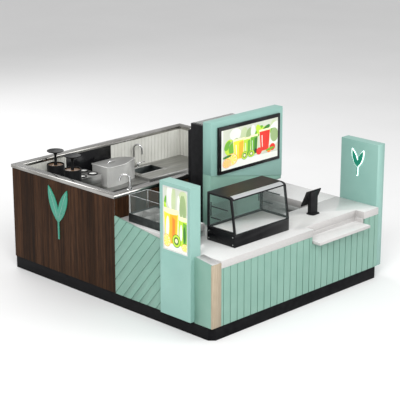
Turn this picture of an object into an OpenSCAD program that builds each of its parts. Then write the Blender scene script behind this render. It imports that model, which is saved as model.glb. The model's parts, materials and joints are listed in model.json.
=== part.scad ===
// Open-topped juice-bar kiosk: a ring of counters round a staff floor.
// Plan coordinates run from the left face (x = 0) and the front face (y = 0),
// and place() moves them so that the origin is the bottom centre.

/* [Footprint] */
// Width of the counter body, left face to right face
body_w = 2868; // [2850:2:3100]
// Depth of the kiosk, front face to back face
body_d = 3430; // [3380:10:3800]

/* [Boards] */
// Thickness of facing and cabinet boards
board_t = 18; // [12:1:25]
// Thickness of the tall partition walls
wall_t = 80; // [60:5:100]

/* [Toe kick] */
// Height of the black toe kick
kick_h = 150; // [100:5:180]
// Thickness of the toe kick boards
kick_t = 40; // [25:1:60]
// Set-back of the toe kick from the faces above
kick_inset = 8; // [0:1:30]
// Length of the 45 degree cut at the front left corner
kick_cut = 60; // [30:5:100]

/* [Front counter] */
// Height of the white counter tops
counter_h = 900; // [820:10:980]
// Thickness of the white counter tops
top_t = 87; // [60:1:100]
// Depth of the front counter
front_depth = 645; // [580:5:700]
// Depth of the part that carries the menu wall
deep_depth = 1055; // [1040:5:1100]
// Left end of the deep part
deep_x0 = 640; // [620:5:700]
// Right end of the deep part
deep_x1 = 1810; // [1790:5:1860]
// Width of the birch strip at the front left corner
strip_w = 142; // [100:2:160]
// Thickness of the raked capping behind the birch strip
capping_t = 22; // [16:1:30]

/* [Transaction shelf] */
// Left end of the notch in the counter top
notch_x = 1664; // [1500:2:1700]
// Length of the notch
notch_w = 926; // [760:2:960]
// Depth of the notch, back from the front face
notch_d = 128; // [100:2:160]
// Drop from the counter top to the shelf
shelf_drop = 138; // [120:2:170]
// Thickness of the shelf
shelf_t = 35; // [25:1:50]
// Reach of the shelf in front of the counter
shelf_reach = 100; // [60:5:140]

/* [Right-hand return] */
// Width of the return counter top
return_w = 478; // [440:2:560]
// Where the return ends, measured from the front face
return_y1 = 2050; // [1900:10:2150]

/* [Wing wall] */
// Thickness of the wing wall
wing_t = 132; // [100:2:160]
// Front edge of the wing wall
wing_y0 = 40; // [20:5:80]
// Length of the wing wall
wing_l = 565; // [400:5:600]
// Height of its lower edge
wing_z0 = 128; // [80:2:150]
// Height of its top
wing_h = 1665; // [1500:5:1800]
// Height of the back-lit sign on the wing wall
wing_sign_h = 330; // [200:10:400]

/* [Lightbox pillar] */
// Front edge of the pillar
pillar_y0 = 270; // [200:5:300]
// Width of the pillar along the side face
pillar_l = 475; // [420:5:500]
// Reach of the pillar outside the side face
pillar_out = 60; // [30:5:90]
// Reach of the pillar inside the side face
pillar_in = 95; // [60:5:120]
// Height of its lower edge
pillar_z0 = 165; // [155:5:200]
// Height of its top
pillar_h = 1700; // [1500:5:1800]
// Lower edge of the poster opening
poster_z0 = 925; // [905:5:960]
// Margin of the poster frame at the sides and the top
poster_rim = 46; // [30:2:60]
// Depth of the poster recess
poster_recess = 14; // [8:1:20]

/* [Left low counter] */
// Height of the low counter top above the front counter top
low_rise = 145; // [100:5:180]
// Thickness of its white top
low_t = 85; // [60:1:100]
// Depth of the low counter, in from the side face
low_depth = 620; // [560:5:635]
// Drop of the raked side panel's front end below the front counter top
rake_drop = 23; // [10:1:40]
// Rise of the raked edge up to the walnut block
rake_rise = 214; // [190:2:230]

/* [Topping display] */
// Set-back of the topping display from the side face
topping_x0 = 75; // [60:5:100]
// Width of the display
topping_w = 420; // [360:5:440]
// Front edge of the display
topping_y0 = 790; // [770:5:820]
// Length of the display
topping_l = 610; // [520:5:640]
// Height of the stainless housing
topping_h = 97; // [80:1:120]
// Wall of the stainless housing
topping_wall = 12; // [8:1:16]
// Height of the glass guard above the housing
guard_h = 222; // [180:2:240]
// Thickness of every glass sheet
glass_t = 6; // [4:1:8]

/* [Walnut walls and back wall] */
// Front face of the walnut block
block_y0 = 1562; // [1530:2:1600]
// Length of the walnut wall that closes the block's front
block_wall_x1 = 1190; // [1000:5:1200]
// Height of the walls below the cap
wall_h = 1293; // [1200:5:1350]
// Height of the stainless cap
cap_h = 42; // [30:1:60]
// Overhang of the cap outside the walls
cap_over = 10; // [4:1:20]
// Height of the leaf sign on the left wall
walnut_sign_h = 640; // [400:10:700]
// Front end of the wall at the back right
right_wall_y0 = 2750; // [2600:10:2800]

/* [Back worktops] */
// Height of the worktops
work_h = 930; // [880:5:950]
// Thickness of the worktops
work_t = 40; // [30:1:50]
// Depth of the back worktop
work_d = 560; // [540:5:600]
// Width of the left-hand worktop
left_work_w = 560; // [500:5:600]
// Drop from the sink top to the preparation top
prep_drop = 25; // [15:1:35]
// Left end of the sink top
sink_top_x0 = 1690; // [1680:5:1730]
// Thickness of the lining boards on the back wall
lining_t = 12; // [8:1:18]
// Left end of the black lining
black_x0 = 780; // [700:5:820]
// Left end of the white lining
bead_x0 = 1530; // [1480:5:1560]

/* [Sink and taps] */
// Width of the sink bowl
sink_w = 390; // [320:5:440]
// Depth of the sink bowl, front to back
sink_l = 250; // [220:5:260]
// Height of the sink bowl
sink_h = 190; // [150:5:230]
// Wall of the sink bowl
sink_wall = 4; // [3:1:6]
// Left edge of the sink opening
sink_x0 = 1772; // [1740:2:1800]
// Gap from the sink opening to the worktop's front edge
sink_front = 232; // [210:2:245]
// Radius of the tap tube
tap_r = 12; // [10:0.5:14]
// Radius of the tap's bend
tap_bend = 58; // [50:1:66]
// Height of the sink tap over its worktop
sink_tap_h = 320; // [280:5:350]
// Height of the rinse tap over the wall cap
rinse_tap_h = 178; // [160:2:220]
// Running clearance of a tap in its collar
tap_gap = 0.1; // [0.05:0.01:0.1]

/* [Worktop machines] */
// Ice box width
ice_w = 580; // [500:5:585]
// Ice box depth
ice_l = 330; // [300:5:360]
// Ice box height over the preparation top
ice_h = 262; // [220:2:300]
// Pot housing width
pot_w = 335; // [320:5:345]
// Pot housing depth
pot_l = 335; // [320:5:360]
// Pot housing height
pot_h = 205; // [160:5:220]
// Gap between the pot housing and the ice box
pot_gap = 91; // [30:1:95]
// Distance of the pot housing from the worktop's front edge
pot_back = 141; // [76:5:201]
// Radius of a pot's rim
pot_r = 66; // [50:2:70]
// Mixer width
mixer_w = 260; // [230:5:270]
// Mixer length
mixer_l = 548; // [520:2:550]
// Height of the mixer's pots
mixer_h = 370; // [300:5:400]
// Radius of a mixer dish
dish_r = 105; // [80:5:112]
// Height of a mixer column over the pots
column_h = 140; // [110:5:180]

/* [Tall fridge] */
// Left side of the fridge
fridge_x0 = 1250; // [1220:5:1300]
// Width of the fridge
fridge_w = 700; // [600:10:720]
// Depth of the fridge without its door
fridge_d = 530; // [480:5:560]
// Height of the fridge
fridge_h = 1955; // [1800:5:2050]
// Thickness of its door
fridge_door_t = 48; // [40:1:60]

/* [Menu wall] */
// Left end of the menu wall
menu_x0 = 915; // [880:5:960]
// Width of the menu wall
menu_w = 1220; // [1100:10:1300]
// Thickness of the menu wall
menu_t = 130; // [100:2:140]
// Height of its top
menu_h = 2120; // [1950:5:2250]
// Height of the raked lower edge of the upper board at the left
menu_rake_left = 1505; // [1480:5:1520]
// Height of the raked lower edge of the upper board at the right
menu_rake_right = 1265; // [1240:5:1300]
// Height of the lower wall's underside past its post
menu_under = 1225; // [1200:5:1235]
// Right end of the lower wall's post
menu_post_x1 = 1760; // [1600:5:1780]
// Width of the screen
screen_w = 1045; // [900:5:1060]
// Height of the screen
screen_h = 560; // [500:5:580]
// Thickness of the screen
screen_t = 30; // [20:1:50]

/* [Display case] */
// Left side of the case
case_x0 = 549; // [500:1:600]
// Width of the case
case_w = 902; // [800:2:940]
// Front of the case
case_y0 = 190; // [160:5:205]
// Depth of the case
case_d = 430; // [400:5:440]
// Height of the black base
case_base_h = 146; // [120:2:160]
// Height of the case
case_h = 564; // [500:2:600]
// Height of the front glass's upper edge over the counter
case_glass_h = 526; // [490:2:530]
// Lean of the front glass at its upper edge
case_lean = 56; // [40:2:64]
// Length of the curve over the front glass
case_curve = 80; // [60:2:96]
// Width of the black frame members
case_bar = 24; // [24:1:28]
// Overlap of the two rear doors where they meet
door_lap = 40; // [24:2:60]
// Running clearance under a rear door
door_gap = 0.3; // [0.2:0.1:0.6]
// Clearance between a rear door and what it passes
door_clear = 5; // [5:0.5:6]

/* [Till stand] */
// Left side of the till stand
till_x = 2045; // [1950:5:2150]
// Distance of the till stand from the front face
till_y = 430; // [350:5:450]
// Width of the till screen
till_w = 260; // [220:5:300]
// Length of the till screen, up its slope
till_l = 212; // [200:2:230]
// Height of the till stand
till_h = 275; // [260:5:300]

/* [Hidden] */
$fn = 48;

// Overall box, used to put the origin at the bottom centre
x_min = -pillar_out;
x_max = body_w + wing_t;
y_min = -shelf_reach;
y_max = body_d + cap_over;

// Levels and places that several pieces share
under_top = counter_h - top_t;
low_h = counter_h + low_rise;
rake_h0 = counter_h - rake_drop;
shelf_h = counter_h - shelf_drop;
notch_x1 = notch_x + notch_w;
return_x0 = body_w - return_w;
pillar_y1 = pillar_y0 + pillar_l;
rake_slope = rake_rise / block_y0;
back_y = body_d - wall_t;
lining_y = back_y - lining_t;
work_y0 = lining_y - work_d;
work_x1 = body_w - wall_t;
prep_h = work_h - prep_drop;
left_work_x1 = wall_t + left_work_w;
block_wall_y1 = block_y0 + wall_t;
topping_y1 = topping_y0 + topping_l;
topping_z1 = low_h + topping_h;
menu_y0 = deep_depth - menu_t - 5;
menu_x1 = menu_x0 + menu_w;
case_x1 = case_x0 + case_w;
case_y1 = case_y0 + case_d;
case_z0 = counter_h;
case_deck = counter_h + case_base_h;
case_top_z = counter_h + case_h;
sink_y0 = work_y0 + sink_front;
sink_tap_x = sink_x0 + sink_w * 0.325;
sink_tap_y = lining_y - 32;
rinse_tap_x = 285;
rinse_tap_y = block_wall_y1 - wall_t / 2;
cap_z = wall_h + cap_h;
ice_x0 = sink_top_x0 - ice_w - 22;
collar_h = 30;
collar_r = tap_r + 12;

module place() {
    translate([-(x_min + x_max) / 2, -(y_min + y_max) / 2, 0]) children();
}

// A box given by two opposite corners
module box(low, high) {
    translate(low) cube(high - low);
}

// An outline in x and z, given its thickness along y
module upright(y, thickness) {
    translate([0, y + thickness, 0]) rotate([90, 0, 0]) linear_extrude(thickness) children();
}

// An outline in y and z, given its thickness along x
module sideways(x, thickness) {
    translate([x, 0, 0]) rotate([90, 0, 90]) linear_extrude(thickness) children();
}

// Height of the raked edge at a distance from the front face
function rake_at(y) = rake_h0 + rake_slope * y;

// Black boards under the outer faces, with the front left corner cut off
module toe_kick() {
    color("#1c1c1e") place() difference() {
        union() {
            box([kick_inset, kick_inset, 0], [body_w - 20, kick_inset + kick_t, kick_h]);
            box([kick_inset, kick_inset, 0], [kick_inset + kick_t, body_d - kick_inset, kick_h]);
            box([kick_inset, body_d - kick_inset - kick_t, 0],
                [body_w - 20, body_d - kick_inset, kick_h]);
            box([body_w - 20 - kick_t, kick_inset, 0], [body_w - 20, return_y1 - kick_inset, kick_h]);
            box([return_x0 + board_t, return_y1 - kick_inset - kick_t, 0],
                [body_w - 20, return_y1 - kick_inset, kick_h]);
            box([body_w - 20 - kick_t, right_wall_y0 + kick_inset, 0],
                [body_w - 20, body_d - kick_inset, kick_h]);
        }
        translate([kick_inset, kick_inset, -1]) linear_extrude(kick_h + 2)
            polygon([[-1, -1], [kick_cut, -1], [-1, kick_cut]]);
    }
}

// Mint facing of the front counter, lower under the transaction shelf
module front_panel() {
    low = shelf_h - shelf_t;
    color("#8fd0bb") place() upright(0, board_t)
        polygon([
            [strip_w, kick_h], [body_w, kick_h], [body_w, under_top],
            [notch_x1 + board_t, under_top], [notch_x1 + board_t, low],
            [notch_x - board_t, low], [notch_x - board_t, under_top], [strip_w, under_top]
        ]);
}

// Birch strip that closes the front facing at the left corner
module corner_strip() {
    color("#dcc7ae") place() box([0, 0, kick_h], [strip_w, board_t, rake_h0]);
}

// Mint side facing with a raked upper edge, on both sides of the pillar
module raked_side_panel() {
    color("#8fd0bb") place() {
        sideways(0, board_t) polygon([
            [board_t, kick_h], [pillar_y0, kick_h],
            [pillar_y0, rake_at(pillar_y0)], [board_t, rake_at(board_t)]
        ]);
        sideways(0, board_t) polygon([
            [pillar_y1, kick_h], [block_y0, kick_h],
            [block_y0, rake_at(block_y0)], [pillar_y1, rake_at(pillar_y1)]
        ]);
    }
}

// Thick white top of the front counter, with the notch and the deep part
module counter_top() {
    color("#f4f4f2") place() translate([0, 0, under_top]) linear_extrude(top_t)
        polygon([
            [strip_w, 0], [notch_x, 0],
            [notch_x, notch_d], [notch_x1, notch_d], [notch_x1, 0], [body_w, 0],
            [body_w, front_depth], [deep_x1, front_depth], [deep_x1, deep_depth],
            [deep_x0, deep_depth], [deep_x0, pillar_y1], [pillar_in, pillar_y1],
            [pillar_in, pillar_y0], [strip_w, pillar_y0]
        ]);
}

// Raked white capping between the side panel and the end of the counter top
module corner_capping() {
    color("#f4f4f2") place() sideways(board_t, strip_w - board_t) polygon([
        [board_t, rake_at(board_t) - capping_t], [pillar_y0, rake_at(pillar_y0) - capping_t],
        [pillar_y0, rake_at(pillar_y0)], [board_t, rake_at(board_t)]
    ]);
}

// Lower white shelf with its back board and two cheeks
module transaction_shelf() {
    color("#f4f4f2") place() {
        box([notch_x, -shelf_reach, shelf_h - shelf_t], [notch_x1, notch_d, shelf_h]);
        box([notch_x - board_t, board_t, shelf_h - shelf_t],
            [notch_x, notch_d + board_t, under_top]);
        box([notch_x1, board_t, shelf_h - shelf_t],
            [notch_x1 + board_t, notch_d + board_t, under_top]);
        box([notch_x, notch_d, shelf_h - shelf_t], [notch_x1, notch_d + board_t, under_top]);
    }
}

// Staff-side boards of the front counter, its deep part and the low counter
module counter_backs() {
    color("#c9cbc8") place() {
        box([deep_x1 - board_t, front_depth - board_t, 0],
            [return_x0, front_depth, under_top]);
        box([deep_x1 - board_t, front_depth, 0], [deep_x1, deep_depth, under_top]);
        box([deep_x0, deep_depth - board_t, 0], [deep_x1, deep_depth, under_top]);
        box([low_depth, pillar_y1, 0], [low_depth + board_t, block_y0, low_h - low_t]);
        box([low_depth, deep_depth - board_t, 0], [deep_x0, deep_depth, under_top]);
    }
}

// Tall mint wall at the right-hand end of the counter
module wing_wall() {
    color("#9bdcc8") place() {
        box([body_w, wing_y0, wing_z0], [x_max, wing_y0 + wing_l, wing_h]);
    }
}

// Two leaves on a short stem, standing for a sign of the maker's choice
module leaf_sign(tall) {
    leaf_r = tall * 0.7345;
    leaf_mid = tall * 0.6345;
    for (side = [-1, 1]) {
        translate([side * tall * 0.13, tall * 0.155]) rotate(side * -22)
            intersection() {
                translate([-leaf_mid, 0]) circle(leaf_r);
                translate([leaf_mid, 0]) circle(leaf_r);
            }
    }
    translate([-tall * 0.02, -tall * 0.5]) square([tall * 0.04, tall * 0.38]);
}

// Back-lit sign on the wing wall
module wing_emblem() {
    color("#e8fff8") place() translate([body_w, wing_y0 + wing_l * 0.53, 1395])
        rotate([90, 0, -90]) linear_extrude(10) leaf_sign(wing_sign_h);
}

// White top of the right-hand return
module return_top() {
    color("#f4f4f2") place() box([return_x0, front_depth, under_top],
        [body_w, return_y1, counter_h]);
}

// Cabinet boards under the return top: staff side, outer side and end
module return_cabinet() {
    color("#c9cbc8") place() {
        box([return_x0, front_depth, 0], [return_x0 + board_t, return_y1, under_top]);
        box([return_x0 + board_t, return_y1 - board_t, kick_h],
            [body_w - board_t, return_y1, under_top]);
        box([body_w - board_t, board_t, kick_h], [body_w, return_y1, under_top]);
    }
}

// Mint lightbox pillar with a recess for the poster
module lightbox_pillar() {
    color("#9bdcc8") place() difference() {
        box([-pillar_out, pillar_y0, pillar_z0], [pillar_in, pillar_y1, pillar_h]);
        box([-pillar_out - 1, pillar_y0 + poster_rim, poster_z0],
            [poster_recess - pillar_out, pillar_y1 - poster_rim, pillar_h - poster_rim]);
    }
}

// Poster sheet in the pillar's recess
module lightbox_poster() {
    color("#f0efe4") place()
        box([poster_recess - pillar_out - 5, pillar_y0 + poster_rim, poster_z0],
            [poster_recess - pillar_out, pillar_y1 - poster_rim, pillar_h - poster_rim]);
}

// White top of the low counter
module low_counter_top() {
    color("#f4f4f2") place() box([board_t, pillar_y1, low_h - low_t],
        [low_depth + board_t, block_y0, low_h]);
}

// Stainless trough of the topping display
module topping_base() {
    color("#9aa09f") place() difference() {
        box([topping_x0, topping_y0, low_h],
            [topping_x0 + topping_w, topping_y1, topping_z1]);
        box([topping_x0 + topping_wall, topping_y0 + topping_wall, low_h + topping_wall],
            [topping_x0 + topping_w - topping_wall, topping_y1 - topping_wall, topping_z1 + 1]);
    }
}

// Glass guard over the topping display: side sheet, two ends and a top sheet
module topping_guard() {
    x1 = topping_x0 + topping_w * 0.72;
    z1 = topping_z1 + guard_h;
    color([0.8, 0.95, 0.93, 0.4]) place() {
        box([topping_x0, topping_y0, topping_z1], [topping_x0 + glass_t, topping_y1, z1]);
        box([topping_x0, topping_y0, z1 - glass_t], [x1, topping_y1, z1]);
        box([topping_x0, topping_y0, topping_z1], [x1, topping_y0 + glass_t, z1]);
        box([topping_x0, topping_y1 - glass_t, topping_z1], [x1, topping_y1, z1]);
    }
}

// Walnut wall along the left face
module walnut_left_wall() {
    color("#4a2f22") place() box([0, block_y0, kick_h], [wall_t, body_d, wall_h]);
}

// Walnut wall that closes the front of the block
module walnut_front_wall() {
    color("#4a2f22") place() box([wall_t, block_y0, 0], [block_wall_x1, block_wall_y1, wall_h]);
}

// Sign on the walnut face
module walnut_emblem() {
    color("#2fa98c") place() translate([0, 2560, 894])
        rotate([90, 0, -90]) linear_extrude(10) leaf_sign(walnut_sign_h);
}

// Stainless cap that runs along every wall top
module wall_cap() {
    z = [wall_h, wall_h + cap_h];
    inner = wall_t + cap_over;
    color("#b9bcb9") place() {
        box([-cap_over, block_y0 - cap_over, z[0]], [inner, y_max, z[1]]);
        box([-cap_over, block_y0 - cap_over, z[0]],
            [block_wall_x1 + cap_over, block_wall_y1 + cap_over, z[1]]);
        box([-cap_over, back_y - cap_over, z[0]], [body_w + cap_over, y_max, z[1]]);
        box([work_x1 - cap_over, right_wall_y0 - cap_over, z[0]],
            [body_w + cap_over, y_max, z[1]]);
    }
}

// Back wall
module back_wall() {
    color("#4a2f22") place() box([wall_t, back_y, kick_h], [work_x1, body_d, wall_h]);
}

// Wall at the back right
module right_back_wall() {
    color("#4a2f22") place() box([work_x1, right_wall_y0, kick_h], [body_w, body_d, wall_h]);
}

// White slatted lining of the back wall
module beadboard_lining() {
    color("#dadbd5") place() {
        box([bead_x0, lining_y, work_h], [work_x1, back_y, wall_h]);
        box([wall_t, lining_y, prep_h], [black_x0, back_y, wall_h]);
        box([work_x1 - lining_t, right_wall_y0, 0], [work_x1, work_y0, wall_h]);
        box([work_x1 - lining_t, work_y0, work_h], [work_x1, lining_y, wall_h]);
    }
}

// Black splash panel behind the machines
module black_lining() {
    color("#141416") place() box([black_x0, lining_y, prep_h], [bead_x0, back_y, wall_h]);
}

// Stainless preparation top: back stretch and left-hand stretch
module prep_top() {
    color("#b4b8b5") place() {
        box([wall_t, work_y0, prep_h - work_t], [sink_top_x0, lining_y, prep_h]);
        box([wall_t, block_wall_y1, prep_h - work_t], [left_work_x1, work_y0, prep_h]);
        box([wall_t, lining_y, prep_h - work_t], [sink_top_x0, back_y, prep_h]);
    }
}

// Stainless sink top with the sink opening
module sink_top() {
    color("#b4b8b5") place() difference() {
        box([sink_top_x0, work_y0, work_h - work_t - prep_drop], [work_x1, back_y, work_h]);
        box([sink_x0, sink_y0, 0], [sink_x0 + sink_w, sink_y0 + sink_l, work_h + 1]);
    }
}

// Open stainless sink bowl hung in the opening
module sink_bowl() {
    z0 = work_h - 2 - sink_h;
    color("#6f7472") place() difference() {
        box([sink_x0, sink_y0, z0], [sink_x0 + sink_w, sink_y0 + sink_l, work_h - 2]);
        box([sink_x0 + sink_wall, sink_y0 + sink_wall, z0 + sink_wall],
            [sink_x0 + sink_w - sink_wall, sink_y0 + sink_l - sink_wall, work_h]);
    }
}

// Collar that a tap turns in
module collar(x, y, z) {
    translate([x, y, z]) difference() {
        cylinder(r = collar_r, h = collar_h);
        translate([0, 0, 6]) cylinder(r = tap_r + tap_gap, h = collar_h);
    }
}

module tap_collars() {
    color("#c8cac9") place() {
        collar(sink_tap_x, sink_tap_y, work_h);
        collar(rinse_tap_x, rinse_tap_y, cap_z);
    }
}

// Gooseneck tube: a riser, a half-round bend and a short outlet
module gooseneck(height, drop) {
    riser = height - tap_bend;
    cylinder(r = tap_r, h = riser);
    translate([0, -tap_bend, riser]) rotate([90, 0, -90]) rotate_extrude(angle = 180)
        translate([tap_bend, 0]) circle(tap_r);
    translate([0, -2 * tap_bend, riser - drop]) cylinder(r = tap_r, h = drop);
}

module sink_tap_spout() {
    lift = 6 + tap_gap;
    color("#c8cac9") place() translate([sink_tap_x, sink_tap_y, work_h + lift])
        rotate(28) gooseneck(sink_tap_h - lift, 70);
}

module rinse_tap_spout() {
    lift = 6 + tap_gap;
    color("#c8cac9") place() translate([rinse_tap_x, rinse_tap_y, cap_z + lift])
        rotate(-135) gooseneck(rinse_tap_h - lift, 12);
}

// Stainless cabinet fronts under the worktops, on the staff side
module inner_cabinet_fronts() {
    color("#a9adaa") place() {
        box([left_work_x1 - board_t, work_y0 + board_t, 0],
            [work_x1, work_y0 + 2 * board_t, prep_h - work_t]);
        box([left_work_x1 - board_t, block_wall_y1, 0],
            [left_work_x1, work_y0 + board_t, prep_h - work_t]);
    }
}

// Upright box with rounded vertical corners
module rounded_box(size, r) {
    linear_extrude(size[2]) {
        translate([r, 0]) square([size[0] - 2 * r, size[1]]);
        translate([0, r]) square([size[0], size[1] - 2 * r]);
        for (x = [r, size[0] - r], y = [r, size[1] - r])
            translate([x, y]) circle(r);
    }
}

// Outline of the ice box: square at the left, narrow at the right, scaled from one by one
function ice_outline() = [
    [0.02, 0.02], [0.05, 0], [0.41, 0], [0.55, 0.05], [0.7, 0.16], [0.84, 0.28], [0.97, 0.36],
    [1, 0.44], [0.98, 0.62], [0.9, 0.82], [0.8, 0.93], [0.68, 1], [0.03, 1], [0, 0.97],
    [0, 0.06]
];

// Stainless ice box with a flat lid
module ice_box() {
    color("#c3c6c3") place() translate([ice_x0, work_y0 + 112, prep_h]) {
        linear_extrude(ice_h - 12)
            polygon([for (p = ice_outline()) [6 + p[0] * (ice_w - 12), 6 + p[1] * (ice_l - 12)]]);
        translate([0, 0, ice_h - 12]) linear_extrude(12)
            polygon([for (p = ice_outline()) [p[0] * ice_w, p[1] * ice_l]]);
    }
}

// Low stainless housing with the rims of four lidded pots
module pot_housing() {
    x = ice_x0 - pot_w - pot_gap;
    y = work_y0 + pot_back;
    color("#aeb2af") place() {
        box([x, y, prep_h], [x + pot_w, y + pot_l, prep_h + pot_h]);
        for (i = [0, 1], j = [0, 1])
            translate([x + pot_w * (0.225 + 0.55 * i), y + pot_l * (0.225 + 0.55 * j),
                prep_h + pot_h]) cylinder(r = pot_r, h = 12);
    }
}

// Black drink mixer: two pots on a plinth, each with a column and a dish
module drink_mixer() {
    x = left_work_x1 - mixer_w + 5;
    y = work_y0 + 8;
    color("#202224") place() {
        box([x, y, prep_h], [x + mixer_w, y + mixer_l, prep_h + 60]);
        for (j = [0.205, 0.795])
            translate([x + mixer_w / 2, y + mixer_l * j, prep_h + 60]) {
                difference() {
                    cylinder(r = mixer_w * 0.42, h = mixer_h - 60);
                    translate([0, 0, mixer_h - 80]) cylinder(r = mixer_w * 0.39, h = 30);
                }
                cylinder(r = 17, h = mixer_h - 60 + column_h);
                translate([0, 0, mixer_h - 60 + column_h]) {
                    cylinder(r1 = 40, r2 = dish_r, h = 22);
                    translate([0, 0, 22]) cylinder(r = dish_r, h = 10);
                }
            }
    }
}

// Black fridge behind the menu wall
module fridge_body() {
    y = deep_depth;
    color("#17181a") place() box([fridge_x0, y, 0],
        [fridge_x0 + fridge_w, y + fridge_d, fridge_h]);
}

module fridge_door() {
    y = deep_depth + fridge_d;
    color("#1d1e20") place() box([fridge_x0, y, 60],
        [fridge_x0 + fridge_w, y + fridge_door_t, fridge_h - 90]);
}

// Upper board of the menu wall, with a raked lower edge
module menu_board() {
    color("#9bdcc8") place() upright(menu_y0, menu_t)
        polygon([
            [menu_x0, menu_rake_left], [menu_x1, menu_rake_right],
            [menu_x1, menu_h], [menu_x0, menu_h]
        ]);
}

// Lower board, set back a little, standing on the deep part of the counter
module menu_lower_wall() {
    color("#86c9b4") place() upright(menu_y0 + 10, menu_t - 10)
        polygon([
            [menu_x0, counter_h], [menu_post_x1, counter_h], [menu_post_x1, menu_under],
            [menu_x1, menu_under], [menu_x1, menu_rake_right], [menu_x0, menu_rake_left]
        ]);
}

// Screen on the front of the menu wall
module menu_screen() {
    x = menu_x0 + (menu_w - screen_w) / 2 + 12;
    z = menu_h - 65 - screen_h;
    color("#101214") place() box([x, menu_y0 - screen_t, z],
        [x + screen_w, menu_y0, z + screen_h]);
}

// Side outline of the display case over its base, in y and z, set in by an amount
function case_outline(inset) = concat(
    [
        [case_y0 + inset + case_lean * inset / (case_glass_h - case_base_h), case_deck + inset],
        [case_y1 - inset, case_deck + inset],
        [case_y1 - inset, case_top_z - inset]
    ],
    case_curve_points(inset)
);

// The curve over the front glass, from the top down to the glass
function case_curve_points(inset) = [
    for (a = [0 : 15 : 90]) [
        case_y0 + case_lean + case_curve - (case_curve - inset) * sin(a),
        case_z0 + case_glass_h + (case_h - case_glass_h - inset) * cos(a)
    ]
];

// Black base of the display case
module case_base() {
    color("#191a1c") place() box([case_x0, case_y0, case_z0], [case_x1, case_y1, case_deck]);
}

// Black side frames, closed top and rear sill of the display case
module case_frame() {
    top_y0 = case_y0 + case_lean + case_curve;
    color("#191a1c") place() {
        for (x = [case_x0, case_x1 - case_bar])
            sideways(x, case_bar) difference() {
                polygon(case_outline(0));
                polygon(case_outline(case_bar));
            }
        box([case_x0, top_y0, case_top_z - case_bar], [case_x1, case_y1, case_top_z]);
        box([case_x0, case_y1 - case_bar, case_deck], [case_x1, case_y1, case_deck + case_bar]);
    }
}

// Glass of the display case: two sides and the leaning front
module case_glass() {
    color([0.8, 0.95, 0.93, 0.4]) place() {
        for (x = [case_x0 + (case_bar - glass_t) / 2, case_x1 - (case_bar + glass_t) / 2])
            sideways(x, glass_t) polygon(case_outline(case_bar));
        sideways(case_x0 + case_bar, case_w - 2 * case_bar) polygon([
            [case_y0, case_deck], [case_y0 + glass_t, case_deck],
            [case_y0 + case_lean + glass_t, case_z0 + case_glass_h],
            [case_y0 + case_lean, case_z0 + case_glass_h]
        ]);
    }
}

// Silver light strip that follows the curve over the front glass
module case_light_strip() {
    top = case_curve_points(0);
    under = case_curve_points(12);
    color("#e6e8ea") place() sideways(case_x0 + case_bar, case_w - 2 * case_bar)
        polygon(concat(top, [for (k = [len(under) - 1 : -1 : 0]) under[k]]));
}

// Two glass shelves held by the side glass
module case_shelves() {
    x0 = case_x0 + (case_bar + glass_t) / 2;
    x1 = case_x1 - (case_bar + glass_t) / 2;
    color([0.8, 0.95, 0.93, 0.4]) place() {
        box([x0, case_y0 + 240, case_deck + 128], [x1, case_y1 - 40, case_deck + 128 + glass_t]);
        box([x0, case_y0 + 130, case_deck + 258], [x1, case_y1 - 40, case_deck + 258 + glass_t]);
    }
}

// One rear door of the display case, on the inner (0) or the outer (1) track
module rear_door(track, x) {
    door_w = (case_w - 2 * case_bar - 2 * door_clear + door_lap) / 2;
    y = case_y1 - case_bar + (case_bar - door_clear) / 2 - glass_t + track * (glass_t + door_clear);
    translate([x, y, case_deck + case_bar + door_gap])
        cube([door_w, glass_t, case_h - case_base_h - 2 * case_bar - door_gap - door_clear]);
}

module case_left_door() {
    color([0.8, 0.95, 0.93, 0.4]) place() rear_door(0, case_x0 + case_bar + door_clear);
}

module case_right_door() {
    door_w = (case_w - 2 * case_bar - 2 * door_clear + door_lap) / 2;
    color([0.8, 0.95, 0.93, 0.4]) place()
        rear_door(1, case_x1 - case_bar - door_clear - door_w);
}

// Till stand: a rounded foot, a column and a screen that leans towards the staff
module till_stand() {
    lean = 24;
    foot_z = till_h - 180;
    under = [for (t = [0, 1]) [45 - till_l * t * sin(lean), foot_z + till_l * t * cos(lean)]];
    on_under = function(y) foot_z + (45 - y) / tan(lean);
    color("#26282a") place() translate([till_x, till_y, counter_h]) {
        translate([0, -90, 0]) rounded_box([150, 120, 10], 40);
        sideways(15, 120) polygon([
            [-50, 10], [4, 10], [4, on_under(4)], [-38, on_under(-38)], [-50, on_under(-38)]
        ]);
        sideways(75 - till_w / 2, till_w) polygon([
            under[0], under[0] + 14 * [cos(lean), sin(lean)],
            under[1] + 14 * [cos(lean), sin(lean)], under[1]
        ]);
    }
}

toe_kick();
front_panel();
corner_strip();
raked_side_panel();
counter_top();
corner_capping();
transaction_shelf();
counter_backs();
wing_wall();
wing_emblem();
return_top();
return_cabinet();
lightbox_pillar();
lightbox_poster();
low_counter_top();
topping_base();
topping_guard();
walnut_left_wall();
walnut_front_wall();
walnut_emblem();
wall_cap();
back_wall();
right_back_wall();
beadboard_lining();
black_lining();
prep_top();
sink_top();
sink_bowl();
tap_collars();
sink_tap_spout();
rinse_tap_spout();
inner_cabinet_fronts();
ice_box();
pot_housing();
drink_mixer();
fridge_body();
fridge_door();
menu_board();
menu_lower_wall();
menu_screen();
case_base();
case_frame();
case_glass();
case_light_strip();
case_shelves();
case_left_door();
case_right_door();
till_stand();
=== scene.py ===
import json
import math
import random

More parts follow.
